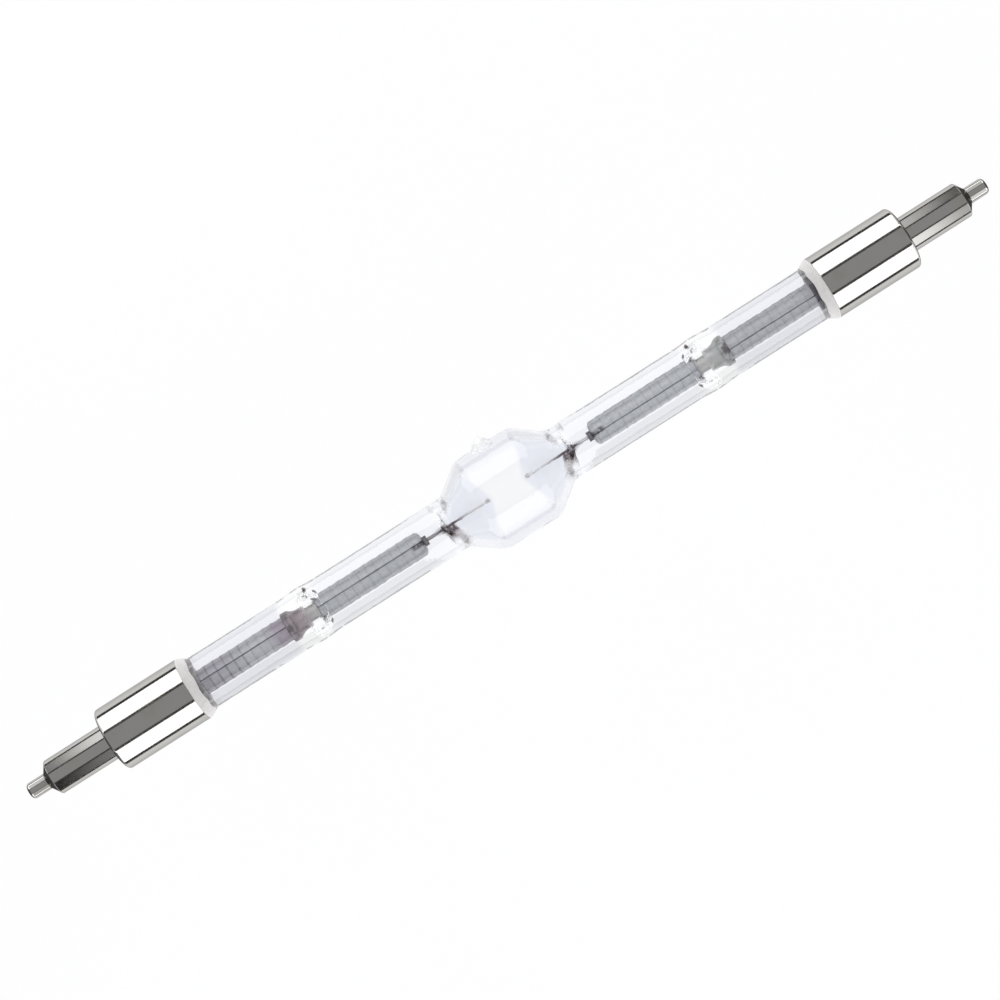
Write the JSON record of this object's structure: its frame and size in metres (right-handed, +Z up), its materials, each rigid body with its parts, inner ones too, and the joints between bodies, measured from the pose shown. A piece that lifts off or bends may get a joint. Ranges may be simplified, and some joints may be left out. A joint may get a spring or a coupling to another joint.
{
  "type": "double-ended metal halide bulb",
  "caption": "Double-ended metal halide bulb: a clear quartz bulb between long quartz stems with tandem foil seals, ending in plated caps with round contact pins.",
  "frame": {"origin": "centre of the arc, halfway between the electrode tips, on the bulb's axis", "axes": "+X along the bulb to the right contact pin, +Y along the exhaust pip, +Z up"},
  "size_m": [0.355, 0.0351, 0.0324],
  "materials": {
    "quartz": "clear fused quartz",
    "tungsten": "drawn, dark grey",
    "molybdenum": "turned",
    "molybdenum_foil": "rolled foil",
    "cement": "matt, pale grey",
    "nickel_plate": "bright plated"
  },
  "bodies": {
    "root": {"quartz_envelope": "quartz", "left_electrode_rod": "tungsten", "left_electrode_coil": "tungsten", "left_weld_collar": "molybdenum", "left_inner_core": "quartz", "left_link": "molybdenum", "left_outer_core": "quartz", "left_terminal_disc": "molybdenum", "left_lead_rod": "molybdenum", "left_cement": "cement", "left_sleeve": "nickel_plate", "left_contact_pin": "nickel_plate", "left_inner_foil_1": "molybdenum_foil", "left_outer_foil_1": "molybdenum_foil", "left_inner_foil_2": "molybdenum_foil", "left_outer_foil_2": "molybdenum_foil", "left_inner_foil_3": "molybdenum_foil", "left_outer_foil_3": "molybdenum_foil", "left_inner_foil_4": "molybdenum_foil", "left_outer_foil_4": "molybdenum_foil", "right_electrode_rod": "tungsten", "right_electrode_coil": "tungsten", "right_weld_collar": "molybdenum", "right_inner_core": "quartz", "right_link": "molybdenum", "right_outer_core": "quartz", "right_terminal_disc": "molybdenum", "right_lead_rod": "molybdenum", "right_cement": "cement", "right_sleeve": "nickel_plate", "right_contact_pin": "nickel_plate", "right_inner_foil_1": "molybdenum_foil", "right_outer_foil_1": "molybdenum_foil", "right_inner_foil_2": "molybdenum_foil", "right_outer_foil_2": "molybdenum_foil", "right_inner_foil_3": "molybdenum_foil", "right_outer_foil_3": "molybdenum_foil", "right_inner_foil_4": "molybdenum_foil", "right_outer_foil_4": "molybdenum_foil"}
  },
  "joints": []
}
